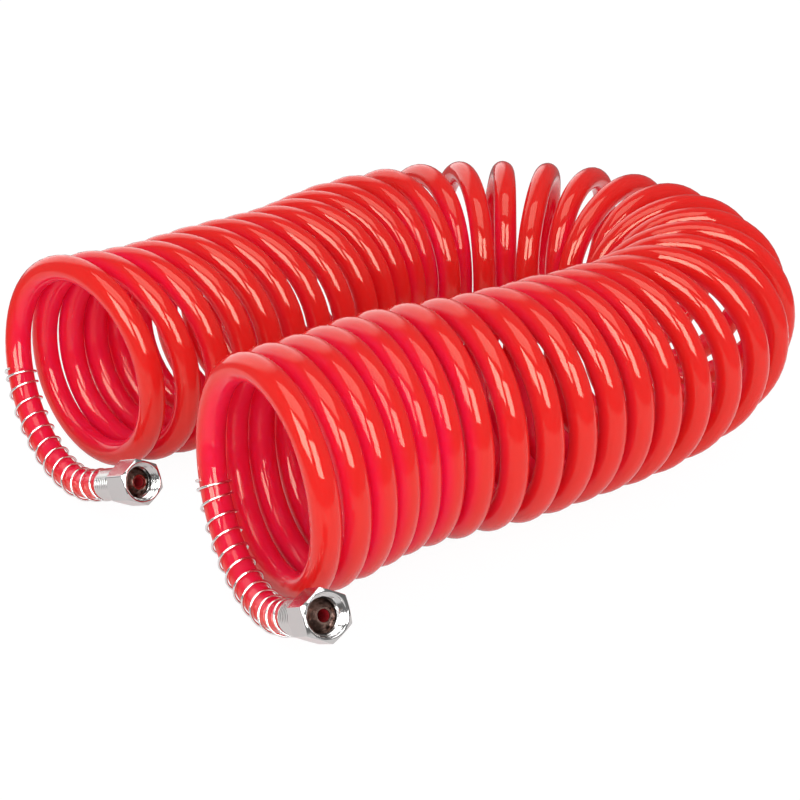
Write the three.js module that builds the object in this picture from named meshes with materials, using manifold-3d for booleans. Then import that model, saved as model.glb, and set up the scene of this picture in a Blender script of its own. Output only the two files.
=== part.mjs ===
// Coiled air hose: a long plastic hose wound as a helix and laid in a U, with a spring guard,
// a ferrule, a nipple and a free-turning female nut on each end.
// Millimetres, +Z up. The legs of the U run along X, the bend is at +X and the floor is Z = 0.
import * as THREE from "three";
import Module from "manifold-3d";

// Hose
const hoseDiameter = 10;
const hoseBore = 6.5;
const hoseSides = 5;
const stepsPerTurn = 14;
const tailStepsPerTurn = 24;
const coilDiameter = 76; // across the middle of the hose
const floorFlat = 1; // depth of the flat that each turn stands on
const cutGap = 0.3; // between two pieces of the hose, face to face

// Route of the coil: turns are counted at their tops, so turn 1 has the first top and turn 41
// the last. The middle line of the coil is a smooth curve drawn towards these [x, y] stations.
const firstTop = 1;
const lastTop = 41;
const turnsPerStation = 3;
const spineStations = [
  [-200.3, 27.7], [-142.8, 65.3], [-110.8, 44.6], [-70.6, 60.5], [-28.3, 58.7], [10, 81],
  [64, 85], [109, 50], [128, -13], [88, -68], [26, -84.1], [-10.7, -79.9], [-46.8, -81.7],
  [-84.5, -68.1], [-118.4, -77.8], [-155.5, -75], [-181.2, -102.4],
];
const headingSpan = 2.5; // turns to each side over which a turn takes its direction
const crowding = 3.2; // how far turns step in and out by turns where the bend crowds them
const crowdedFrom = 11.5;
const crowdedTo = 34.5;
const crowdingRun = 3; // turns over which the crowding comes and goes

// Ends of the hose. The last turns lie askew, and the last half turn opens out:
// skew: degrees that the last turns are turned from the line of the coil
// run: turns over which the end opens out
// stand: how far the end stands off from the coil
// reach: how far the end reaches across, away from the turn's own circle
// rise: degrees that the hose climbs past its lowest point
// straight: straight hose up to its square cut
const ends = {
  a: { skew: 12.7, run: 0.48, stand: 14.5, reach: 22.6, rise: 21, straight: 20.2 },
  b: { skew: -16.1, run: 0.61, stand: 3.9, reach: 13.8, rise: 28, straight: 16.8 },
};
const skewRun = 12; // turns over which the skew comes
const endLift = 2.8; // the spring guard holds the hose up from the floor
const insertDepth = 11; // depth of the bore that takes the nipple

// Nipple
const nippleBore = 3.7;
const barbRoot = 5.2;
const barbCrest = 5.8;
const barbCount = 3;
const barbPitch = 3;
const flangeDiameter = 10;
const flangeLength = 1.7;
const stemDiameter = 8;
const headDiameter = 10.6;
const headLength = 2.3;
const coneTip = 5.4;
const coneHalfAngle = 45;

// Ferrule
const ferruleDiameter = 11.8;
const ferruleLength = 13;
const ferruleLip = 1.2;
const grooveCount = 5;
const groovePitch = 1.6;
const grooveDepth = 0.2;
const grooveWidth = 0.7;

// Swivel nut, G 1/4
const nutAcrossFlats = 15;
const nutLength = 12.5;
const nutLip = 4.5;
const threadMinor = 11.45;
const reliefDiameter = 13.4;
const reliefLength = 2.4;
const mouthDiameter = 13.4;
const cornerChamfer = 30; // degrees, at both ends of the hexagon

// Spring guard
const wireDiameter = 0.9;
const wireSides = 4;
const wireStepsPerTurn = 10;
const openTurns = 11;
const openPitch = { a: 7.4, b: 6.9 };
const closedTurns = 1.3;
const closedPitch = 2.9;

// Clearances
const seatGap = 0.3;
const swivelGap = 0.5;
const roundSides = 36;

const hoseRadius = hoseDiameter / 2;
const coilRadius = coilDiameter / 2;
const spineHeight = coilRadius + hoseRadius - floorFlat;
const turnAtEnd = {
  a: firstTop - 0.5 - ends.a.rise / 360,
  b: lastTop + 0.5 + ends.b.rise / 360,
};
const routeEnd = (spineStations.length - 3) * turnsPerStation;

const kernel = await Module();
kernel.setup();

function smooth(share) {
  const s = Math.min(Math.max(share, 0), 1);
  return s * s * (3 - 2 * s);
}

// Point on the middle line of the coil, seen from above.
function spineAt(turn) {
  const place = turn / turnsPerStation;
  const first = Math.min(Math.max(Math.floor(place), 0), spineStations.length - 4);
  const f = place - first;
  const weights = [
    (1 - f) ** 3,
    3 * f ** 3 - 6 * f ** 2 + 4,
    -3 * f ** 3 + 3 * f ** 2 + 3 * f + 1,
    f ** 3,
  ];
  const point = new THREE.Vector2();
  weights.forEach((weight, i) => {
    point.x += (weight * spineStations[first + i][0]) / 6;
    point.y += (weight * spineStations[first + i][1]) / 6;
  });
  return point;
}

// Direction in which a turn faces, level and one unit long.
function headingAt(turn) {
  const ahead = spineAt(Math.min(turn + headingSpan, routeEnd));
  const behind = spineAt(Math.max(turn - headingSpan, 0));
  const skewA = ends.a.skew * smooth((firstTop + skewRun - turn) / skewRun);
  const skewB = ends.b.skew * smooth((turn - lastTop + skewRun) / skewRun);
  const skew = THREE.MathUtils.degToRad(skewA + skewB);
  return ahead.sub(behind).normalize().rotateAround(new THREE.Vector2(), skew);
}

// Share of the opening out that the hose has reached, near each end.
function openingAt(turn) {
  return {
    a: smooth(1 - (turn - turnAtEnd.a) / ends.a.run),
    b: smooth(1 - (turnAtEnd.b - turn) / ends.b.run),
  };
}

// On the inside of the bend the turns lie in two layers, one in and the next out.
function crowdingAt(turn) {
  const inside = Math.max(Math.sin(2 * Math.PI * turn), 0) ** 2;
  const bend = smooth((turn - crowdedFrom) / crowdingRun) * smooth((crowdedTo - turn) / crowdingRun);
  return crowding * inside * bend * Math.cos(Math.PI * (turn - 0.25));
}

// Middle of the turn that the hose is on.
function middleAt(turn) {
  const heading = headingAt(turn);
  const inward = new THREE.Vector2(heading.y, -heading.x);
  const open = openingAt(turn);
  const middle = spineAt(turn)
    .addScaledVector(heading, ends.b.stand * open.b - ends.a.stand * open.a)
    .addScaledVector(inward, ends.a.reach * open.a - ends.b.reach * open.b);
  return new THREE.Vector3(middle.x, middle.y, spineHeight + endLift * (open.a + open.b));
}

// Point on the middle line of the hose.
function hoseAt(turn) {
  const heading = headingAt(turn);
  const inward = new THREE.Vector3(heading.y, -heading.x, 0);
  const angle = 2 * Math.PI * turn;
  return middleAt(turn)
    .addScaledVector(inward, coilRadius * Math.sin(angle) + crowdingAt(turn))
    .add(new THREE.Vector3(0, 0, coilRadius * Math.cos(angle)));
}

// Square frame on the hose: along it, out from the coil, and across.
function frameAt(turn) {
  const step = 0.001;
  const point = hoseAt(turn);
  const along = hoseAt(turn + step).sub(hoseAt(turn - step)).normalize();
  const out = point.clone().sub(middleAt(turn));
  out.addScaledVector(along, -out.dot(along)).normalize();
  return { point, along, out, across: along.clone().cross(out) };
}

function moved(frame, distance) {
  return { ...frame, point: frame.point.clone().addScaledVector(frame.along, distance) };
}

function ringAround(frame, radius, sides) {
  const ring = [];
  for (let i = 0; i < sides; i++) {
    const angle = (2 * Math.PI * i) / sides;
    ring.push(
      frame.point
        .clone()
        .addScaledVector(frame.out, radius * Math.cos(angle))
        .addScaledVector(frame.across, radius * Math.sin(angle)),
    );
  }
  return ring;
}

// Closed tube through rings of the same number of points.
function tubeGeometry(rings) {
  const sides = rings[0].length;
  const last = (rings.length - 1) * sides;
  const faces = [];
  for (let i = 0; i < last; i += sides) {
    for (let j = 0; j < sides; j++) {
      const next = (j + 1) % sides;
      faces.push(i + j, i + next, i + sides + next);
      faces.push(i + j, i + sides + next, i + sides + j);
    }
  }
  for (let j = 1; j < sides - 1; j++) {
    faces.push(0, j + 1, j);
    faces.push(last, last + j, last + j + 1);
  }
  return new THREE.BufferGeometry().setFromPoints(rings.flat()).setIndex(faces);
}

function toSolid(geometry) {
  const points = geometry.getAttribute("position");
  const faces = geometry.index.array;
  const mesh = new kernel.Mesh({
    numProp: 3,
    vertProperties: new Float32Array(points.array),
    triVerts: new Uint32Array(faces),
  });
  mesh.merge();
  return new kernel.Manifold(mesh);
}

function toGeometry(solid) {
  const mesh = solid.getMesh();
  const geometry = new THREE.BufferGeometry();
  geometry.setAttribute("position", new THREE.BufferAttribute(mesh.vertProperties, 3));
  return geometry.setIndex(new THREE.BufferAttribute(mesh.triVerts, 1));
}

// Round body about Z from a closed outline of [radius, height] points.
function turned(outline) {
  const points = [...outline, outline[0]].map(([radius, height]) => new THREE.Vector2(radius, height));
  return new THREE.LatheGeometry(points, roundSides).rotateX(Math.PI / 2);
}

function placed(geometry, frame) {
  const matrix = new THREE.Matrix4().makeBasis(frame.out, frame.across, frame.along);
  return geometry.applyMatrix4(matrix.setPosition(frame.point));
}

function bothEndsOf(list) {
  return [list[0], list[list.length - 1]];
}

// Frames along the hose from one turn to another, with a face gap at each cut.
function framesBetween(from, to, perTurn) {
  const frames = [];
  const first = Math.ceil(from * perTurn + 0.01);
  const last = Math.floor(to * perTurn - 0.01);
  for (let step = first; step <= last; step++) frames.push(frameAt(step / perTurn));
  return frames;
}

// Frame of each end with its direction out of the hose, at the hose's square cut.
function endFrame(end) {
  const frame = frameAt(turnAtEnd[end]);
  if (end === "a") {
    frame.along.negate();
    frame.across.negate();
  }
  return moved(frame, ends[end].straight);
}

// Frame on the hose at a distance back from its square cut, for what is wound round it.
function frameBack(end, distance) {
  const straight = ends[end].straight;
  if (distance <= straight) return moved(endFrame(end), -distance);
  const inward = end === "a" ? 1 : -1;
  const step = 0.5;
  let turn = turnAtEnd[end];
  for (let left = distance - straight; left > 0; left -= step) {
    const speed = hoseAt(turn + 0.001).distanceTo(hoseAt(turn - 0.001)) / 0.002;
    turn += (inward * Math.min(step, left)) / speed;
  }
  const frame = frameAt(turn);
  if (end === "a") {
    frame.along.negate();
    frame.across.negate();
  }
  return frame;
}

function hosePiece(frames) {
  const rings = frames.map((frame) => ringAround(frame, hoseRadius, hoseSides));
  return toSolid(tubeGeometry(rings)).trimByPlane([0, 0, 1], 0);
}

// A stretch of the coil between two cuts.
function coilPiece(from, to) {
  const frames = [
    moved(frameAt(from), cutGap / 2),
    ...framesBetween(from, to, stepsPerTurn),
    moved(frameAt(to), -cutGap / 2),
  ];
  return toGeometry(hosePiece(frames));
}

// The end of the hose, with the bore that takes the nipple.
function tailPiece(end, cut) {
  const square = endFrame(end);
  const start = moved(square, -ends[end].straight);
  let frames;
  if (end === "a") {
    frames = [square, start].map((frame) => ({
      ...frame,
      along: frame.along.clone().negate(),
      across: frame.across.clone().negate(),
    }));
    frames.push(...framesBetween(turnAtEnd.a, cut, tailStepsPerTurn), moved(frameAt(cut), -cutGap / 2));
  } else {
    frames = [moved(frameAt(cut), cutGap / 2), ...framesBetween(cut, turnAtEnd.b, tailStepsPerTurn)];
    frames.push(start, square);
  }
  const bore = turned([
    [0, -insertDepth],
    [hoseBore / 2, -insertDepth],
    [hoseBore / 2, hoseRadius],
    [0, hoseRadius],
  ]);
  return toGeometry(hosePiece(frames).subtract(toSolid(indexed(placed(bore, square)))));
}

// Drops the doubled points of a turned body, so that it is one closed surface.
function indexed(geometry) {
  const points = geometry.getAttribute("position");
  const keys = new Map();
  const kept = [];
  const renamed = [];
  for (let i = 0; i < points.count; i++) {
    const point = new THREE.Vector3().fromBufferAttribute(points, i);
    const key = point.toArray().map((value) => Math.round(value * 1000)).join();
    if (!keys.has(key)) {
      keys.set(key, kept.length);
      kept.push(point);
    }
    renamed.push(keys.get(key));
  }
  const faces = [];
  for (let i = 0; i < geometry.index.count; i += 3) {
    const corner = [0, 1, 2].map((k) => renamed[geometry.index.getX(i + k)]);
    if (new Set(corner).size === 3) faces.push(...corner);
  }
  return new THREE.BufferGeometry().setFromPoints(kept).setIndex(faces);
}

// Distances along a fitting, from the hose's square cut outwards.
const flangeFrom = seatGap;
const flangeTo = flangeFrom + flangeLength;
const ferruleTo = flangeTo + seatGap + ferruleLip;
const ferruleFrom = ferruleTo - ferruleLength;
const nutFrom = ferruleTo + swivelGap;
const nutTo = nutFrom + nutLength;
const headFrom = nutFrom + nutLip + seatGap;
const headTo = headFrom + headLength;
const coneTo = headTo + (headDiameter - coneTip) / 2 / Math.tan(THREE.MathUtils.degToRad(coneHalfAngle));

function nippleGeometry() {
  const barbEnd = flangeFrom - seatGap - barbCount * barbPitch;
  const outline = [
    [nippleBore / 2, coneTo],
    [nippleBore / 2, barbEnd],
  ];
  for (let i = 0; i < barbCount; i++) {
    const from = barbEnd + i * barbPitch;
    outline.push([barbRoot / 2, from], [barbCrest / 2, from + barbPitch * 0.8]);
  }
  outline.push(
    [barbRoot / 2, flangeFrom],
    [flangeDiameter / 2, flangeFrom],
    [flangeDiameter / 2, flangeTo],
    [stemDiameter / 2, flangeTo],
    [stemDiameter / 2, headFrom],
    [headDiameter / 2, headFrom],
    [headDiameter / 2, headTo],
    [coneTip / 2, coneTo],
  );
  return indexed(turned(outline));
}

function ferruleGeometry() {
  const outer = ferruleDiameter / 2;
  const rim = 0.5;
  const outline = [
    [hoseRadius + seatGap, flangeTo + seatGap],
    [hoseRadius + seatGap, ferruleFrom],
    [outer - rim, ferruleFrom],
    [outer, ferruleFrom + rim],
  ];
  const grooves = (grooveCount - 1) * groovePitch + grooveWidth;
  const firstGroove = (ferruleFrom + ferruleTo - grooves) / 2;
  for (let i = 0; i < grooveCount; i++) {
    const from = firstGroove + i * groovePitch;
    outline.push(
      [outer, from],
      [outer - grooveDepth, from + grooveWidth / 2],
      [outer, from + grooveWidth],
    );
  }
  outline.push(
    [outer, ferruleTo - rim],
    [outer - rim, ferruleTo],
    [stemDiameter / 2 + seatGap, ferruleTo],
    [stemDiameter / 2 + seatGap, flangeTo + seatGap],
  );
  return indexed(turned(outline));
}

function nutGeometry() {
  const cornerRadius = nutAcrossFlats / 2 / Math.cos(Math.PI / 6);
  const hexagon = new THREE.Shape();
  for (let i = 0; i < 6; i++) {
    const angle = (i * Math.PI) / 3;
    hexagon[i ? "lineTo" : "moveTo"](cornerRadius * Math.cos(angle), cornerRadius * Math.sin(angle));
  }
  const body = new THREE.ExtrudeGeometry(hexagon, { depth: nutLength, bevelEnabled: false });
  body.translate(0, 0, nutFrom);
  const flatRadius = nutAcrossFlats / 2 - 0.3;
  const fall = (cornerRadius + 1 - flatRadius) * Math.tan(THREE.MathUtils.degToRad(cornerChamfer));
  const envelope = turned([
    [0, nutFrom],
    [flatRadius, nutFrom],
    [cornerRadius + 1, nutFrom + fall],
    [cornerRadius + 1, nutTo - fall],
    [flatRadius, nutTo],
    [0, nutTo],
  ]);
  const mouthRun = (mouthDiameter - threadMinor) / 2;
  const lipTo = nutFrom + nutLip;
  const hollow = turned([
    [0, nutFrom - 1],
    [stemDiameter / 2 + swivelGap, nutFrom - 1],
    [stemDiameter / 2 + swivelGap, lipTo],
    [reliefDiameter / 2, lipTo],
    [reliefDiameter / 2, lipTo + reliefLength],
    [threadMinor / 2, lipTo + reliefLength + 0.6],
    [threadMinor / 2, nutTo - mouthRun],
    [mouthDiameter / 2 + 0.5, nutTo + 0.5],
    [0, nutTo + 0.5],
  ]);
  return toGeometry(
    toSolid(indexed(indexedFaces(body)))
      .intersect(toSolid(indexed(envelope)))
      .subtract(toSolid(indexed(hollow))),
  );
}

// Gives a geometry without an index one that counts its points in order.
function indexedFaces(geometry) {
  if (geometry.index) return geometry;
  const count = geometry.getAttribute("position").count;
  return geometry.setIndex(Array.from({ length: count }, (_, i) => i));
}

// Wire wound round the hose as a right-hand coil, from the ferrule back along it.
function springFrames(end) {
  const radius = hoseRadius + seatGap + wireDiameter / 2;
  const windRadius = radius / Math.cos(Math.PI / wireStepsPerTurn);
  const centre = (turn) => {
    const open = Math.min(turn, openTurns) * openPitch[end];
    const closed = Math.max(turn - openTurns, 0) * closedPitch;
    const frame = frameBack(end, -ferruleFrom + seatGap + wireDiameter / 2 + open + closed);
    return frame.point
      .addScaledVector(frame.out, windRadius * Math.cos(2 * Math.PI * turn))
      .addScaledVector(frame.across, -windRadius * Math.sin(2 * Math.PI * turn));
  };
  const frames = [];
  const steps = Math.round((openTurns + closedTurns) * wireStepsPerTurn);
  for (let i = 0; i <= steps; i++) {
    const turn = i / wireStepsPerTurn;
    const point = centre(turn);
    const along = centre(turn + 0.01).sub(centre(turn - 0.01)).normalize();
    const out = new THREE.Vector3(0, 0, 1);
    if (i) out.copy(frames[i - 1].out);
    out.addScaledVector(along, -out.dot(along)).normalize();
    frames.push({ point, along, out, across: along.clone().cross(out) });
  }
  return frames;
}

// Least gap between the turns of one wound tube, measured on its points.
function leastGap(points, perTurn, diameter) {
  let least = Infinity;
  for (let i = 0; i < points.length; i++) {
    for (let j = i + Math.ceil(perTurn * 0.6); j < Math.min(i + 3 * perTurn, points.length); j++) {
      least = Math.min(least, points[i].distanceTo(points[j]) - diameter);
    }
  }
  return least;
}

const hoseRed = new THREE.MeshStandardMaterial({ color: 0xe1232a, roughness: 0.15 });
const nickel = new THREE.MeshStandardMaterial({ color: 0xc9cbcd, metalness: 1, roughness: 0.2 });

const part = new THREE.Group();
function add(name, geometry, material) {
  const mesh = new THREE.Mesh(geometry, material);
  mesh.name = name;
  part.add(mesh);
}

// The hose is cut on the inner side of the U, so that each piece is a simple body.
const cuts = [1.25, 7.25, 13.25, 17.25, 21.25, 25.25, 29.25, 35.25, 41.25];
const coilNames = ["leg_a_1", "leg_a_2", "bend_1", "bend_2", "bend_3", "bend_4", "leg_b_1", "leg_b_2"];
coilNames.forEach((name, i) => add("hose_" + name, coilPiece(cuts[i], cuts[i + 1]), hoseRed));
const [firstCut, lastCut] = bothEndsOf(cuts);
add("hose_tail_a", tailPiece("a", firstCut), hoseRed);
add("hose_tail_b", tailPiece("b", lastCut), hoseRed);

for (const end of ["a", "b"]) {
  const frame = endFrame(end);
  const spring = springFrames(end);
  const rings = spring.map((ring) => ringAround(ring, wireDiameter / 2, wireSides));
  add("nipple_" + end, placed(nippleGeometry(), frame), nickel);
  add("ferrule_" + end, placed(ferruleGeometry(), frame), nickel);
  add("swivel_nut_" + end, placed(nutGeometry(), frame), nickel);
  add("spring_guard_" + end, tubeGeometry(rings), nickel);
  const points = spring.map((ring) => ring.point);
  const gap = leastGap(points, wireStepsPerTurn, wireDiameter);
  console.log("spring guard " + end + ": least gap to itself " + gap.toFixed(2) + " mm");
}

const hoseFrames = framesBetween(turnAtEnd.a, turnAtEnd.b, stepsPerTurn);
const hosePoints = hoseFrames.map((frame) => frame.point);
const hoseGap = leastGap(hosePoints, stepsPerTurn, hoseDiameter);
console.log("hose: least gap to itself " + hoseGap.toFixed(2) + " mm");

// The origin is on the floor, below the middle of the whole.
const box = new THREE.Box3().setFromObject(part);
const middle = box.getCenter(new THREE.Vector3());
part.position.set(-middle.x, -middle.y, 0);
console.log("moved by " + part.position.toArray().map((value) => value.toFixed(2)).join(", "));

export default part;
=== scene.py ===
# Coiled air hose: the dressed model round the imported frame, in metres and degrees, +Z up.
import math

import bpy
from mathutils import Matrix, Vector


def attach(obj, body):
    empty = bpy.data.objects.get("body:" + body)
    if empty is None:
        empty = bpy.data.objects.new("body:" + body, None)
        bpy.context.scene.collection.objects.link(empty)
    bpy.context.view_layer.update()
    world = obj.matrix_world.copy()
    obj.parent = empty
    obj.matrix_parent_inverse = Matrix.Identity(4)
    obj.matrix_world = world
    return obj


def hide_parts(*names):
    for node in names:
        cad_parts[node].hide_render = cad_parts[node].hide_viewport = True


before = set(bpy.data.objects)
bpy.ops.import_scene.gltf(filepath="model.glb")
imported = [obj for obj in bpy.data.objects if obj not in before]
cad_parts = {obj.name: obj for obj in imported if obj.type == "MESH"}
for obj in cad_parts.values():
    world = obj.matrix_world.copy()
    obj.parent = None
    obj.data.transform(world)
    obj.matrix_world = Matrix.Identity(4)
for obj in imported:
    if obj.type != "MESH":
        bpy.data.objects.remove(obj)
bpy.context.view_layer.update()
print("frame loaded")


cameraSet = {
    "place": (-0.412597, -0.465074, 0.26261),
    "tilt": 68.637,
    "heading": -40.0,
    "lens": 73.536,
    "sensor": 36.0,
    "shiftY": -0.01525,
    "clip": (0.01, 50.0),
}


def makeCamera():
    data = bpy.data.cameras.new("camera")
    data.sensor_width = cameraSet["sensor"]
    data.lens = cameraSet["lens"]
    data.shift_y = cameraSet["shiftY"]
    data.clip_start, data.clip_end = cameraSet["clip"]
    camera = bpy.data.objects.new("camera", data)
    camera.location = cameraSet["place"]
    tilt = math.radians(cameraSet["tilt"])
    camera.rotation_euler = (tilt, 0.0, math.radians(cameraSet["heading"]))
    bpy.context.collection.objects.link(camera)
    bpy.context.scene.camera = camera


makeCamera()
print("camera placed")


# The turns are counted at their tops. The middle of the coil is drawn towards these stations.
coil = {
    "stations": [
        (-0.2003, 0.0277), (-0.1428, 0.0653), (-0.1108, 0.0446), (-0.0706, 0.0605),
        (-0.0283, 0.0587), (0.010, 0.081), (0.064, 0.085), (0.109, 0.050), (0.128, -0.013),
        (0.088, -0.068), (0.026, -0.0841), (-0.0107, -0.0799), (-0.0468, -0.0817),
        (-0.0845, -0.0681), (-0.1184, -0.0778), (-0.1555, -0.075), (-0.1812, -0.1024),
    ],
    "shift": (0.005368, 0.0090262),
    "turnsPerStation": 3,
    "firstTop": 1,
    "lastTop": 41,
    "radius": 0.0375,  # of the hose's middle line
    "radiusAtEnds": 0.038,
    "height": 0.0425,  # of the coil's middle above the floor
    "heightAtEnds": 0.0448,
    "headingSpan": 2.5,  # turns on each side that give the coil's direction
    "skewRun": 12,  # turns over which an end swings round
    "crowding": 0.0032,  # how far each layer of the bend lies from the plain coil
    "crowdedFrom": 11.5,
    "crowdedTo": 34.5,
    "crowdingRun": 3,
}
# How the hose leaves the coil at each end.
tails = {
    "a": {
        "skew": 12.7,  # the end of the leg swings round by this
        "run": 0.48,  # turns over which the hose opens out
        "stand": 0.0145,  # it stands out this far along the leg
        "reach": 0.0226,  # and this far to the side
        "rise": 21,  # it climbs this far past the lowest point
        "straight": 0.0202,
    },
    "b": {
        "skew": -16.1,
        "run": 0.61,
        "stand": 0.0039,
        "reach": 0.0138,
        "rise": 28,
        "straight": 0.0168,
    },
}
turnAtEnd = {
    "a": coil["firstTop"] - 0.5 - tails["a"]["rise"] / 360,
    "b": coil["lastTop"] + 0.5 + tails["b"]["rise"] / 360,
}


def smooth(share):
    s = min(max(share, 0.0), 1.0)
    return s * s * (3 - 2 * s)


def spineAt(turn):
    stations = coil["stations"]
    place = turn / coil["turnsPerStation"]
    first = min(max(int(math.floor(place)), 0), len(stations) - 4)
    f = place - first
    weights = (
        (1 - f) ** 3,
        3 * f**3 - 6 * f**2 + 4,
        -3 * f**3 + 3 * f**2 + 3 * f + 1,
        f**3,
    )
    x = sum(w * stations[first + i][0] for i, w in enumerate(weights)) / 6
    y = sum(w * stations[first + i][1] for i, w in enumerate(weights)) / 6
    return Vector((x + coil["shift"][0], y + coil["shift"][1], 0.0))


def headingAt(turn):
    routeEnd = (len(coil["stations"]) - 3) * coil["turnsPerStation"]
    span = coil["headingSpan"]
    run = coil["skewRun"]
    heading = spineAt(min(turn + span, routeEnd)) - spineAt(max(turn - span, 0))
    skew = tails["a"]["skew"] * smooth((coil["firstTop"] + run - turn) / run)
    skew += tails["b"]["skew"] * smooth((turn - coil["lastTop"] + run) / run)
    return Matrix.Rotation(math.radians(skew), 3, "Z") @ heading.normalized()


def openingAt(turn):
    openA = smooth(1 - (turn - turnAtEnd["a"]) / tails["a"]["run"])
    openB = smooth(1 - (turnAtEnd["b"] - turn) / tails["b"]["run"])
    return openA, openB


# On the inside of the bend the turns lie in two layers.
def crowdingAt(turn):
    inside = max(math.sin(2 * math.pi * turn), 0.0) ** 2
    run = coil["crowdingRun"]
    bend = smooth((turn - coil["crowdedFrom"]) / run) * smooth((coil["crowdedTo"] - turn) / run)
    return coil["crowding"] * inside * bend * math.cos(math.pi * (turn - 0.25))


def middleAt(turn):
    heading = headingAt(turn)
    inward = Vector((heading.y, -heading.x, 0.0))
    openA, openB = openingAt(turn)
    middle = spineAt(turn)
    middle += heading * (tails["b"]["stand"] * openB - tails["a"]["stand"] * openA)
    middle += inward * (tails["a"]["reach"] * openA - tails["b"]["reach"] * openB)
    middle.z = coil["height"] + (coil["heightAtEnds"] - coil["height"]) * (openA + openB)
    return middle


def hoseAt(turn):
    heading = headingAt(turn)
    inward = Vector((heading.y, -heading.x, 0.0))
    angle = 2 * math.pi * turn
    radius = coil["radius"] + (coil["radiusAtEnds"] - coil["radius"]) * sum(openingAt(turn))
    side = radius * math.sin(angle) + crowdingAt(turn)
    return middleAt(turn) + inward * side + Vector((0.0, 0.0, radius * math.cos(angle)))


# Direction of the hose here. Its length is that of one whole turn.
def wayAt(turn):
    step = 0.001
    return (hoseAt(turn + step) - hoseAt(turn - step)) / (2 * step)


# A square frame on the hose: its point, along it, out from the coil, and across.
def frameAt(turn):
    point = hoseAt(turn)
    along = wayAt(turn).normalized()
    out = point - middleAt(turn)
    out = (out - along * out.dot(along)).normalized()
    return point, along, out, along.cross(out)


def moved(place, distance):
    point, along, out, across = place
    return point + along * distance, along, out, across


def turnedRound(place):
    point, along, out, across = place
    return point, -along, out, -across


# Frame of a fitting, at the hose's square cut, with its direction out of the hose.
def endFrame(end):
    place = frameAt(turnAtEnd[end])
    if end == "a":
        place = turnedRound(place)
    return moved(place, tails[end]["straight"])


def makeObject(name, points, faces, material, sharpAngle=None):
    mesh = bpy.data.meshes.new(name)
    mesh.from_pydata([tuple(point) for point in points], [], faces)
    mesh.validate()
    mesh.polygons.foreach_set("use_smooth", [True] * len(mesh.polygons))
    if sharpAngle is not None:
        mesh.set_sharp_from_angle(angle=math.radians(sharpAngle))
    mesh.materials.append(material)
    piece = bpy.data.objects.new(name, mesh)
    bpy.context.collection.objects.link(piece)
    return piece


def ringAround(place, radius, sides):
    point, _, out, across = place
    ring = []
    for i in range(sides):
        angle = 2 * math.pi * i / sides
        ring.append(point + out * (radius * math.cos(angle)) + across * (radius * math.sin(angle)))
    return ring


# Quads between neighbouring rings, each of the same number of points.
def ringFaces(ringCount, sides, closed=False):
    faces = []
    for i in range(ringCount if closed else ringCount - 1):
        here = i * sides
        there = ((i + 1) % ringCount) * sides
        for j in range(sides):
            nextJ = (j + 1) % sides
            faces.append((here + j, here + nextJ, there + nextJ, there + j))
    return faces


# Faces of a long tube along its rings, with both ends closed.
def tubeFaces(ringCount, sides):
    faces = ringFaces(ringCount, sides)
    last = (ringCount - 1) * sides
    faces.append(tuple(range(sides - 1, -1, -1)))
    faces.append(tuple(range(last, last + sides)))
    return faces


def fittingPoint(place, radius, angle, height):
    point, along, out, across = place
    side = out * (radius * math.cos(angle)) + across * (radius * math.sin(angle))
    return point + along * height + side


# A closed round body from an outline of (radius, height), turned about a fitting's axis.
def turnedPiece(name, place, outline, sides, material):
    points = []
    for radius, height in outline:
        for j in range(sides):
            points.append(fittingPoint(place, radius, 2 * math.pi * j / sides, height))
    faces = ringFaces(len(outline), sides, closed=True)
    return makeObject(name, points, faces, material, fitting["sharpAngle"])


def newMaterial(name):
    material = bpy.data.materials.new(name)
    material.use_nodes = True
    nodes = material.node_tree.nodes
    return material, nodes, material.node_tree.links, nodes["Principled BSDF"]


def mathNode(nodes, links, operation, *sources):
    node = nodes.new("ShaderNodeMath")
    node.operation = operation
    for i, source in enumerate(sources):
        if isinstance(source, (int, float)):
            node.inputs[i].default_value = source
        else:
            links.new(source, node.inputs[i])
    return node.outputs[0]


# A Mix node has its two colours at inputs 6 and 7 and gives a colour at output 2.
def mixColours(nodes, links, share, first, second):
    node = nodes.new("ShaderNodeMix")
    node.data_type = "RGBA"
    links.new(share, node.inputs[0])
    for socket, colour in ((node.inputs[6], first), (node.inputs[7], second)):
        if isinstance(colour, tuple):
            socket.default_value = colour
        else:
            links.new(colour, socket)
    return node.outputs[2]


# The hose's own red and finish, with painted shade in the creases and painted light on the coil's
# inner side.
hoseFinishAndPaintedShading = {
    "red": (0.80, 0.023, 0.020, 1.0),
    "paintedCreaseShade": (0.95, 0.010, 0.085, 1.0),  # painted shade: the crimson of the shaded creases where the turns meet
    "paintedInsideLight": (0.98, 0.015, 0.085, 1.0),  # painted light and shade: a brighter crimson red on the inner side of the coil, where less light reaches
    "roughness": 0.03,
    "ior": 1.46,
    "shine": 0.5,
    "shineInCreases": 0.0,
    "insideShare": 0.85,
    "reflectionTint": (1.0, 0.94, 0.72, 1.0),
    "subsurface": 0.7,
    "subsurfaceRadius": (1.0, 0.12, 0.12),
    "subsurfaceScale": 0.010,  # how far light travels in the plastic
    "waveScale": 55.0,
    "waveDetail": 2.0,
    "waveStrength": 0.02,
    "waveDepth": 0.0004,
}


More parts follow.
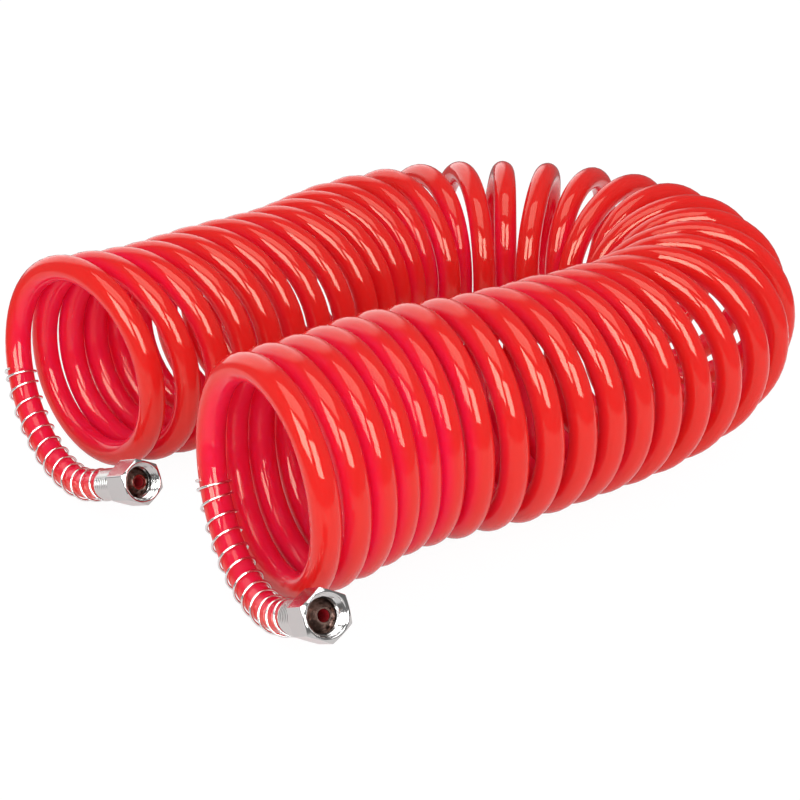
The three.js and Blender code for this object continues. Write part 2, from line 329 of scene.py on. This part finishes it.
def makeHoseMaterial():
    material, nodes, links, shader = newMaterial("hose_red")
    # The crease mask paints shade into the creases as a crimson red; the inside_coil mask paints
    # light on the coil's inner side.
    depth = nodes.new("ShaderNodeAttribute")
    depth.attribute_name = "crease"
    inside = nodes.new("ShaderNodeAttribute")
    inside.attribute_name = "inside_coil"
    share = mathNode(nodes, links, "MULTIPLY", inside.outputs["Fac"], hoseFinishAndPaintedShading["insideShare"])
    crease = depth.outputs["Fac"]
    outer = mixColours(nodes, links, crease, hoseFinishAndPaintedShading["red"], hoseFinishAndPaintedShading["paintedCreaseShade"])
    tint = mixColours(nodes, links, share, outer, hoseFinishAndPaintedShading["paintedInsideLight"])
    links.new(tint, shader.inputs["Base Color"])
    # painted shade on the reflections: less shine deep in the creases
    shine = nodes.new("ShaderNodeMapRange")
    shine.inputs["To Min"].default_value = hoseFinishAndPaintedShading["shine"]
    shine.inputs["To Max"].default_value = hoseFinishAndPaintedShading["shineInCreases"]
    links.new(crease, shine.inputs["Value"])
    links.new(shine.outputs["Result"], shader.inputs["Specular IOR Level"])
    # the extruded hose is very slightly uneven along its length
    place = nodes.new("ShaderNodeTexCoord")
    waves = nodes.new("ShaderNodeTexNoise")
    waves.inputs["Scale"].default_value = hoseFinishAndPaintedShading["waveScale"]
    waves.inputs["Detail"].default_value = hoseFinishAndPaintedShading["waveDetail"]
    bump = nodes.new("ShaderNodeBump")
    bump.inputs["Strength"].default_value = hoseFinishAndPaintedShading["waveStrength"]
    bump.inputs["Distance"].default_value = hoseFinishAndPaintedShading["waveDepth"]
    links.new(place.outputs["Object"], waves.inputs["Vector"])
    links.new(waves.outputs["Fac"], bump.inputs["Height"])
    links.new(bump.outputs["Normal"], shader.inputs["Normal"])
    shader.inputs["Roughness"].default_value = hoseFinishAndPaintedShading["roughness"]
    shader.inputs["IOR"].default_value = hoseFinishAndPaintedShading["ior"]
    shader.inputs["Specular Tint"].default_value = hoseFinishAndPaintedShading["reflectionTint"]
    shader.inputs["Subsurface Weight"].default_value = hoseFinishAndPaintedShading["subsurface"]
    shader.inputs["Subsurface Radius"].default_value = hoseFinishAndPaintedShading["subsurfaceRadius"]
    shader.inputs["Subsurface Scale"].default_value = hoseFinishAndPaintedShading["subsurfaceScale"]
    return material


metals = {
    "bright_nickel": {"colour": (0.60, 0.59, 0.585, 1.0), "roughness": 0.13, "grain": 900.0},
    "turned_nickel": {"colour": (0.64, 0.63, 0.62, 1.0), "roughness": 0.2, "grain": 1500.0},
    "wire_steel": {"colour": (0.82, 0.81, 0.80, 1.0), "roughness": 0.15, "grain": 1200.0},
    "nipple_nickel": {"colour": (0.27, 0.17, 0.14, 1.0), "roughness": 0.2, "grain": 900.0},
}
metalFlecks = {"detail": 4.0, "smoothest": 0.7, "roughest": 1.4}  # times the roughness


def makeMetal(name):
    metal = metals[name]
    material, nodes, links, shader = newMaterial(name)
    place = nodes.new("ShaderNodeTexCoord")
    flecks = nodes.new("ShaderNodeTexNoise")
    flecks.inputs["Scale"].default_value = metal["grain"]
    flecks.inputs["Detail"].default_value = metalFlecks["detail"]
    spread = nodes.new("ShaderNodeMapRange")
    spread.inputs["To Min"].default_value = metal["roughness"] * metalFlecks["smoothest"]
    spread.inputs["To Max"].default_value = metal["roughness"] * metalFlecks["roughest"]
    links.new(place.outputs["Object"], flecks.inputs["Vector"])
    links.new(flecks.outputs["Fac"], spread.inputs["Value"])
    links.new(spread.outputs["Result"], shader.inputs["Roughness"])
    shader.inputs["Base Color"].default_value = metal["colour"]
    shader.inputs["Metallic"].default_value = 1.0
    return material


hoseRed = makeHoseMaterial()
nickel = makeMetal("bright_nickel")
turnedNickel = makeMetal("turned_nickel")
wireSteel = makeMetal("wire_steel")
darkNickel = makeMetal("nipple_nickel")

# Painted light: the red of the daylight that comes through the hose is painted into the colour of
# the nipple's bore.
borePaintedLight = {"red": (0.30, 0.004, 0.01, 1.0), "roughness": 0.45}


def makeBoreMaterial():
    material, _, _, shader = newMaterial("nipple_bore")
    shader.inputs["Base Color"].default_value = borePaintedLight["red"]
    shader.inputs["Roughness"].default_value = borePaintedLight["roughness"]
    return material


boreLightRed = makeBoreMaterial()
print("materials made")


hose = {
    "diameter": 0.010,
    "bore": 0.0065,  # cut only at the two ends, for the nipples
    "boreDepth": 0.011,
    "stepsPerTurn": 60,
    "straightSteps": 6,
    "sides": 24,
    "sharpAngle": 60,
    "creaseReach": 0.006,  # a gap this wide counts as open
    "creaseSpan": 3,  # rings looked at on each side of the nearest
}


def hosePlaces():
    places = []
    startA = turnedRound(endFrame("a"))
    for i in range(hose["straightSteps"]):
        places.append(moved(startA, tails["a"]["straight"] * i / hose["straightSteps"]))
    turns = turnAtEnd["b"] - turnAtEnd["a"]
    steps = round(turns * hose["stepsPerTurn"])
    for i in range(steps + 1):
        places.append(frameAt(turnAtEnd["a"] + turns * i / steps))
    startB = frameAt(turnAtEnd["b"])
    for i in range(hose["straightSteps"]):
        places.append(moved(startB, tails["b"]["straight"] * (i + 1) / hose["straightSteps"]))
    return places


def makeHose():
    places = hosePlaces()
    sides = hose["sides"]
    radius = hose["diameter"] / 2
    rings = [ringAround(place, radius, sides) for place in places]
    # a blind bore at each end takes the nipple
    first = places[0]
    last = places[-1]
    bore = hose["bore"] / 2
    depth = hose["boreDepth"]
    boreA = [ringAround(moved(first, depth), bore, sides), ringAround(first, bore, sides)]
    boreB = [ringAround(last, bore, sides), ringAround(moved(last, -depth), bore, sides)]
    rings = boreA + rings + boreB
    points = [point for ring in rings for point in ring]
    faces = tubeFaces(len(rings), sides)
    piece = makeObject("hose_tube", points, faces, hoseRed, hose["sharpAngle"])
    markCreases(piece, places, rings, len(boreA))
    path = [place[0] for place in places]
    length = sum((b - a).length for a, b in zip(path, path[1:]))
    return piece, path, length


# How deep each point lies between its neighbouring turns, from 0 in the open to 1, and how
# far it faces into the coil. These masks carry the painted shade in the creases and the
# painted light on the coil's inner side.
def markCreases(piece, places, rings, boreRings):
    centres = [place[0] for place in places]
    perTurn = hose["stepsPerTurn"]
    reach = hose["creaseReach"]
    span = hose["creaseSpan"]
    radius = hose["diameter"] / 2
    sides = hose["sides"]
    values = []
    for k, ring in enumerate(rings):
        i = min(max(k - boreRings, 0), len(places) - 1)
        near = []
        for j in (i - perTurn, i + perTurn):
            if 0 <= j < len(centres):
                near += centres[max(j - span, 0) : j + span + 1]
        for point in ring:
            gap = min((point - centre).length for centre in near) - radius if near else reach
            values.append(smooth(1 - gap / reach))
    attribute = piece.data.attributes.new("crease", "FLOAT", "POINT")
    attribute.data.foreach_set("value", values)
    around = [smooth(-math.cos(2 * math.pi * j / sides)) for j in range(sides)]
    attribute = piece.data.attributes.new("inside_coil", "FLOAT", "POINT")
    attribute.data.foreach_set("value", around * len(rings))


hoseTube, hosePath, hoseLength = makeHose()
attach(hoseTube, "hose")
hoseNodes = [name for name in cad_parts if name.startswith("hose_")]
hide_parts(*hoseNodes)
print("hose made, %.3f m" % hoseLength)


fitting = {
    "seatGap": 0.0003,
    "swivelGap": 0.0005,
    "flange": 0.0017,
    "ferruleLip": 0.0012,
    "ferruleLength": 0.013,
    "sharpAngle": 35,
    "sides": 96,
}
# Heights along the fitting, from the hose's square cut outwards.
flangeFrom = fitting["seatGap"]
flangeTo = flangeFrom + fitting["flange"]
ferruleTo = flangeTo + fitting["seatGap"] + fitting["ferruleLip"]
ferruleFrom = ferruleTo - fitting["ferruleLength"]
nutFrom = ferruleTo + fitting["swivelGap"]

nipple = {
    "bore": 0.00185,
    "barbRoot": 0.0026,
    "barbCrest": 0.0029,
    "barbCount": 3,
    "barbPitch": 0.003,
    "barbSlope": 0.8,  # share of its pitch over which a barb rises
    "flange": 0.0050,
    "stem": 0.0040,
    "head": 0.0053,
    "headLength": 0.0023,
    "tip": 0.0027,
    "coneAngle": 45,
    "edge": 0.0002,
    "sides": 64,
}
nut = {
    "acrossFlats": 0.015,
    "length": 0.0125,
    "lip": 0.0045,
    "lipBore": 0.0045,
    "relief": 0.0067,
    "reliefLength": 0.0024,
    "threadMinor": 0.005725,
    "threadMajor": 0.0065785,
    "threadPitch": 0.001337,
    "threadCrest": 0.12,  # how flat its crests and roots are
    "threadStart": 0.0001,
    "leadRows": 6,  # rows of the thread that run in from the relief
    "leadSlope": 1.2,
    "mouth": 0.0067,
    "mouthSlope": 0.85,
    "chamferFlat": 0.0072,
    "chamferAngle": 30,
    "edge": 0.00025,
    "cornerCut": 0.0000875,
    "cornerSteps": (-1.6, -0.9, -0.3, 0.3, 0.9, 1.6),  # degrees round each corner
    "sharpAngle": 24,
    "sides": 120,
    "rowsPerPitch": 8,
}
headFrom = nutFrom + nut["lip"] + fitting["seatGap"]
headTo = headFrom + nipple["headLength"]
coneSlope = math.tan(math.radians(nipple["coneAngle"]))
coneTo = headTo + (nipple["head"] - nipple["tip"]) / coneSlope
nutTo = nutFrom + nut["length"]


def nippleOutline():
    edge = nipple["edge"]
    pitch = nipple["barbPitch"]
    barbEnd = flangeFrom - fitting["seatGap"] - nipple["barbCount"] * pitch
    outline = [(nipple["bore"], coneTo - edge * 1.5), (nipple["bore"], barbEnd)]
    for i in range(nipple["barbCount"]):
        start = barbEnd + i * pitch
        outline.append((nipple["barbRoot"], start))
        outline.append((nipple["barbCrest"], start + pitch * nipple["barbSlope"]))
    outline += [
        (nipple["barbRoot"], flangeFrom),
        (nipple["flange"], flangeFrom),
        (nipple["flange"], flangeTo),
        (nipple["stem"], flangeTo),
        (nipple["stem"], headFrom),
        (nipple["head"] - edge, headFrom),
        (nipple["head"], headFrom + edge),
        (nipple["head"], headTo),
        (nipple["tip"] + edge / 2, coneTo - edge),
        (nipple["tip"] - edge / 2, coneTo),
        (nipple["bore"] + edge, coneTo),
    ]
    return outline


ferrule = {
    "outer": 0.0059,
    "inner": 0.0053,
    "stemHole": 0.0043,
    "rim": 0.0004,
    "grooveCount": 7,
    "groovePitch": 0.0014,
    "grooveDepth": 0.00018,
    "grooveWidth": 0.0006,
    "firstGroove": 0.0014,
}


def ferruleOutline():
    outer = ferrule["outer"]
    rim = ferrule["rim"]
    outline = [
        (ferrule["inner"], flangeTo + fitting["seatGap"]),
        (ferrule["inner"], ferruleFrom),
        (outer - rim, ferruleFrom),
        (outer - rim * 0.3, ferruleFrom + rim * 0.3),
        (outer, ferruleFrom + rim),
    ]
    for i in range(ferrule["grooveCount"]):
        start = ferruleFrom + ferrule["firstGroove"] + i * ferrule["groovePitch"]
        width = ferrule["grooveWidth"]
        depth = ferrule["grooveDepth"]
        outline += [
            (outer, start),
            (outer - depth * 0.75, start + width * 0.25),
            (outer - depth, start + width * 0.5),
            (outer - depth * 0.75, start + width * 0.75),
            (outer, start + width),
        ]
    outline += [
        (outer, ferruleTo - rim),
        (outer - rim * 0.3, ferruleTo - rim * 0.3),
        (outer - rim, ferruleTo),
        (ferrule["stemHole"], ferruleTo),
        (ferrule["stemHole"], flangeTo + fitting["seatGap"]),
    ]
    return outline


# Angles round the nut, closer together at its six corners.
def nutAngles():
    steps = nut["cornerSteps"]
    perSide = nut["sides"] // 6 - len(steps)
    room = 60.0 - 2 * steps[-1]
    angles = []
    for side in range(6):
        corner = side * 60.0
        angles += [corner + step for step in steps]
        flatFrom = corner + steps[-1]
        angles += [flatFrom + room * (i + 1) / (perSide + 1) for i in range(perSide)]
    return [math.radians(angle) for angle in angles]


# Distance from the axis to the hexagon's side, with its corners a little rounded.
def hexagonRadius(angle):
    half = nut["acrossFlats"] / 2
    share = (angle % math.radians(60)) - math.radians(30)
    corner = half / math.cos(math.radians(30))
    return min(half / math.cos(share), corner - nut["cornerCut"])


# The thread as a right-hand ridge between its two diameters.
def threadRadius(angle, height):
    depth = nut["threadMajor"] - nut["threadMinor"]
    turn = (height / nut["threadPitch"] - angle / (2 * math.pi)) % 1.0
    wave = 1 - abs(2 * turn - 1)
    crest = nut["threadCrest"]
    cut = min(max((wave - crest) / (1 - 2 * crest), 0.0), 1.0)
    return nut["threadMinor"] + depth * cut


# The nut's outline at one angle, round its outside, its lip and its thread.
def nutColumn(angle):
    outer = hexagonRadius(angle)
    flat = nut["chamferFlat"]
    slope = math.tan(math.radians(nut["chamferAngle"]))
    fall = max(outer - flat, 0.0) * slope
    edge = nut["edge"]
    mouth = nut["mouth"]
    column = [
        (mouth + edge * 0.5, nutTo),
        (flat - edge * 0.3, nutTo),
        (flat + (outer - flat) * 0.5, nutTo - fall * 0.5),
        (outer - edge * 0.5, nutTo - fall + edge * 0.25),
        (outer, nutTo - fall - edge * 0.5),
        (outer, nutFrom + fall + edge * 0.5),
        (outer - edge * 0.5, nutFrom + fall - edge * 0.25),
        (flat + (outer - flat) * 0.5, nutFrom + fall * 0.5),
        (flat - edge * 0.3, nutFrom),
        (nut["lipBore"] + edge, nutFrom),
        (nut["lipBore"], nutFrom + edge),
        (nut["lipBore"], nutFrom + nut["lip"]),
        (nut["relief"], nutFrom + nut["lip"]),
        (nut["relief"], nutFrom + nut["lip"] + nut["reliefLength"]),
    ]
    threadFrom = nutFrom + nut["lip"] + nut["reliefLength"] + nut["threadStart"]
    rows = round((nutTo - threadFrom) / nut["threadPitch"] * nut["rowsPerPitch"])
    for i in range(rows):
        height = threadFrom + (nutTo - edge * 0.5 - threadFrom) * i / (rows - 1)
        radius = threadRadius(angle, height)
        if i < nut["leadRows"]:
            radius = max(radius, nut["relief"] - (height - threadFrom) * nut["leadSlope"])
        funnel = mouth - (nutTo - height) * nut["mouthSlope"]
        column.append((max(radius, funnel), height))
    return column


def makeNut(end, place):
    angles = nutAngles()
    columns = [nutColumn(angle) for angle in angles]
    rows = len(columns[0])
    points = []
    for row in range(rows):
        for angle, column in zip(angles, columns):
            radius, height = column[row]
            points.append(fittingPoint(place, radius, angle, height))
    faces = ringFaces(rows, len(angles), closed=True)
    piece = makeObject("nut_shell_" + end, points, faces, nickel, nut["sharpAngle"])
    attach(piece, "nut_" + end)
    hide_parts("swivel_nut_" + end)
    return piece


def makeFitting(end):
    place = endFrame(end)
    outline = nippleOutline()
    core = turnedPiece("nipple_core_" + end, place, outline, nipple["sides"], darkNickel)
    core.data.materials.append(boreLightRed)
    # the outline's first stretch is the bore
    for face in core.data.polygons:
        face.material_index = 1 if face.index < nipple["sides"] else 0
    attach(core, "hose")
    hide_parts("nipple_" + end)
    outline = ferruleOutline()
    sleeve = turnedPiece("ferrule_sleeve_" + end, place, outline, fitting["sides"], turnedNickel)
    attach(sleeve, "hose")
    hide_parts("ferrule_" + end)
    return [core, sleeve, makeNut(end, place)]


spring = {
    "wire": 0.0009,
    "windRadius": 0.00575,
    "openTurns": 11,
    "openPitch": {"a": 0.0074, "b": 0.0069},
    "closedTurns": 1.3,
    "closedPitch": 0.0029,
    "frameStep": 0.0005,
    "spare": 0.004,  # frames past the last turn
    "stepsPerTurn": 32,
    "sharpAngle": 60,
    "sides": 10,
}


# Frames back along the hose from its square cut, in equal steps.
def framesBack(end, longest):
    straight = tails[end]["straight"]
    square = endFrame(end)
    step = spring["frameStep"]
    places = [moved(square, -step * i) for i in range(int(straight / step) + 1)]
    left = step * len(places) - straight
    inward = 1 if end == "a" else -1
    turn = turnAtEnd[end]
    while step * len(places) < longest:
        turn += inward * left / wayAt(turn).length
        place = frameAt(turn)
        places.append(turnedRound(place) if end == "a" else place)
        left = step
    return places


def makeSpring(end):
    openTurns = spring["openTurns"]
    openPitch = spring["openPitch"][end]
    closedPitch = spring["closedPitch"]
    turns = openTurns + spring["closedTurns"]
    radius = spring["wire"] / 2
    start = -ferruleFrom + fitting["seatGap"] + radius
    longest = start + openTurns * openPitch + spring["closedTurns"] * closedPitch
    places = framesBack(end, longest + spring["spare"])

    def centre(turn):
        opened = min(turn, openTurns) * openPitch
        closed = max(turn - openTurns, 0.0) * closedPitch
        where = (start + opened + closed) / spring["frameStep"]
        i = min(int(where), len(places) - 2)
        share = where - i
        point = places[i][0].lerp(places[i + 1][0], share)
        out = places[i][2].lerp(places[i + 1][2], share).normalized()
        across = places[i][3].lerp(places[i + 1][3], share).normalized()
        angle = 2 * math.pi * turn
        return point + (out * math.cos(angle) - across * math.sin(angle)) * spring["windRadius"]

    steps = round(turns * spring["stepsPerTurn"])
    aside = 0.01
    rings = []
    out = Vector((0.0, 0.0, 1.0))
    for i in range(steps + 1):
        turn = turns * i / steps
        along = (centre(turn + aside) - centre(max(turn - aside, 0.0))).normalized()
        out = (out - along * out.dot(along)).normalized()
        place = (centre(turn), along, out, along.cross(out))
        rings.append(ringAround(place, radius, spring["sides"]))
    points = [point for ring in rings for point in ring]
    faces = tubeFaces(len(rings), spring["sides"])
    piece = makeObject("spring_wire_" + end, points, faces, wireSteel, spring["sharpAngle"])
    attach(piece, "hose")
    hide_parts("spring_guard_" + end)
    return piece


for end in ("a", "b"):
    makeFitting(end) + [makeSpring(end)]
print("fittings and spring guards made")


studio = {
    "floorSize": 12.0,
    "floorWhite": 0.9,
    "floorRoughness": 0.9,
    "floorGlow": 0.93,  # share of plain white that the camera sees, the rest takes the shadow
    "floorLift": 1.04,
    "floorMirrored": 0.45,  # share of plain white in reflections
    "sweepNear": 0.30,  # reflections lose the floor between these distances
    "sweepFar": 0.42,
    "allRound": 0.83,  # light on matt surfaces from every side
    "roomDark": 0.2,
    "backdrop": 1.7,
    "backdropWay": (0.156, 0.893, 0.423),
    "backdropEdges": (0.80, 0.90),  # cosines from that way where it starts and is full
    "lampDistance": 1.5,
    "lampTarget": (0.0, 0.0, 0.04),
}
lamps = {
    "strip_left": {
        "way": (-0.805, -0.293, 0.515),
        "size": (0.78, 0.80),
        "radiance": 10.0,
        "diffuse": False,
    },
    "strip_right": {
        "way": (-0.316, -0.824, 0.469),
        "size": (0.78, 0.80),
        "radiance": 10.0,
        "diffuse": False,
    },
    "overhead": {
        "way": (-0.173, -0.170, 0.970),
        "size": (1.5, 0.95),
        "radiance": 2.8,
        "diffuse": False,
    },
    "fill": {
        "way": (-0.62, -0.70, 0.36),
        "size": (1.2, 1.2),
        "radiance": 1.5,
        "glossy": False,
    },
}


# The floor is white to the camera. In reflections it ends a little way round the hose.
def makeFloor():
    half = studio["floorSize"] / 2
    points = [(-half, -half, 0), (half, -half, 0), (half, half, 0), (-half, half, 0)]
    material, nodes, links, shader = newMaterial("floor_white")
    white = studio["floorWhite"]
    shader.inputs["Base Color"].default_value = (white, white, white, 1.0)
    shader.inputs["Roughness"].default_value = studio["floorRoughness"]
    shader.inputs["Specular IOR Level"].default_value = 0.0
    glow = nodes.new("ShaderNodeEmission")
    rays = nodes.new("ShaderNodeLightPath")
    place = nodes.new("ShaderNodeTexCoord")
    away = nodes.new("ShaderNodeVectorMath")
    away.operation = "LENGTH"
    links.new(place.outputs["Object"], away.inputs[0])
    sweep = nodes.new("ShaderNodeMapRange")
    sweep.inputs["From Min"].default_value = studio["sweepNear"]
    sweep.inputs["From Max"].default_value = studio["sweepFar"]
    links.new(away.outputs["Value"], sweep.inputs["Value"])
    mirrored = mathNode(nodes, links, "MAXIMUM", sweep.outputs["Result"], studio["floorMirrored"])
    mirrored = mathNode(nodes, links, "MULTIPLY", rays.outputs["Is Glossy Ray"], mirrored)
    dimmed = mathNode(nodes, links, "MULTIPLY", sweep.outputs["Result"], 1 - studio["roomDark"])
    dimmed = mathNode(nodes, links, "SUBTRACT", 1.0, dimmed)
    direct = (rays.outputs["Is Camera Ray"], rays.outputs["Is Transmission Ray"])
    seen = mathNode(nodes, links, "MAXIMUM", *direct)
    bright = mathNode(nodes, links, "MULTIPLY", seen, studio["floorLift"])
    links.new(mathNode(nodes, links, "MAXIMUM", bright, dimmed), glow.inputs["Strength"])
    share = mathNode(nodes, links, "MULTIPLY", seen, studio["floorGlow"])
    share = mathNode(nodes, links, "MAXIMUM", share, mirrored)
    both = nodes.new("ShaderNodeMixShader")
    links.new(share, both.inputs[0])
    links.new(shader.outputs[0], both.inputs[1])
    links.new(glow.outputs[0], both.inputs[2])
    links.new(both.outputs[0], nodes["Material Output"].inputs["Surface"])
    floor = makeObject("floor", points, [(0, 1, 2, 3)], material)


# White to the camera, even all round for the matt light, and in reflections a dark room
# with a bright backdrop behind the hose.
def makeWorld():
    world = bpy.data.worlds.new("studio")
    world.use_nodes = True
    nodes = world.node_tree.nodes
    links = world.node_tree.links
    back = nodes["Background"]
    back.inputs["Color"].default_value = (1.0, 1.0, 1.0, 1.0)
    way = nodes.new("ShaderNodeTexCoord")
    towards = nodes.new("ShaderNodeVectorMath")
    towards.operation = "DOT_PRODUCT"
    towards.inputs[1].default_value = studio["backdropWay"]
    links.new(way.outputs["Generated"], towards.inputs[0])
    fade = nodes.new("ShaderNodeMapRange")
    fade.inputs["From Min"].default_value = studio["backdropEdges"][0]
    fade.inputs["From Max"].default_value = studio["backdropEdges"][1]
    fade.inputs["To Min"].default_value = studio["roomDark"]
    fade.inputs["To Max"].default_value = studio["backdrop"]
    links.new(towards.outputs["Value"], fade.inputs["Value"])
    rays = nodes.new("ShaderNodeLightPath")
    glossy = rays.outputs["Is Glossy Ray"]
    plain = mathNode(nodes, links, "SUBTRACT", 1.0, glossy)
    matt = mathNode(nodes, links, "MULTIPLY", plain, studio["allRound"])
    room = mathNode(nodes, links, "MULTIPLY", fade.outputs["Result"], glossy)
    light = mathNode(nodes, links, "ADD", matt, room)
    bright = mathNode(nodes, links, "MAXIMUM", rays.outputs["Is Camera Ray"], light)
    links.new(bright, back.inputs["Strength"])
    bpy.context.scene.world = world


def addLamp(name, values):
    width, height = values["size"]
    data = bpy.data.lights.new(name, "AREA")
    data.shape = "RECTANGLE"
    data.size = width
    data.size_y = height
    data.energy = values["radiance"] * math.pi * width * height
    lamp = bpy.data.objects.new(name, data)
    way = Vector(values["way"]).normalized()
    lamp.location = Vector(studio["lampTarget"]) + way * studio["lampDistance"]
    lamp.rotation_euler = way.to_track_quat("Z", "Y").to_euler()
    lamp.visible_diffuse = values.get("diffuse", True)
    lamp.visible_glossy = values.get("glossy", True)
    bpy.context.collection.objects.link(lamp)


makeFloor()
makeWorld()
for name, values in lamps.items():
    addLamp(name, values)
print("studio lit")

bpy.context.scene.view_settings.view_transform = "Standard"
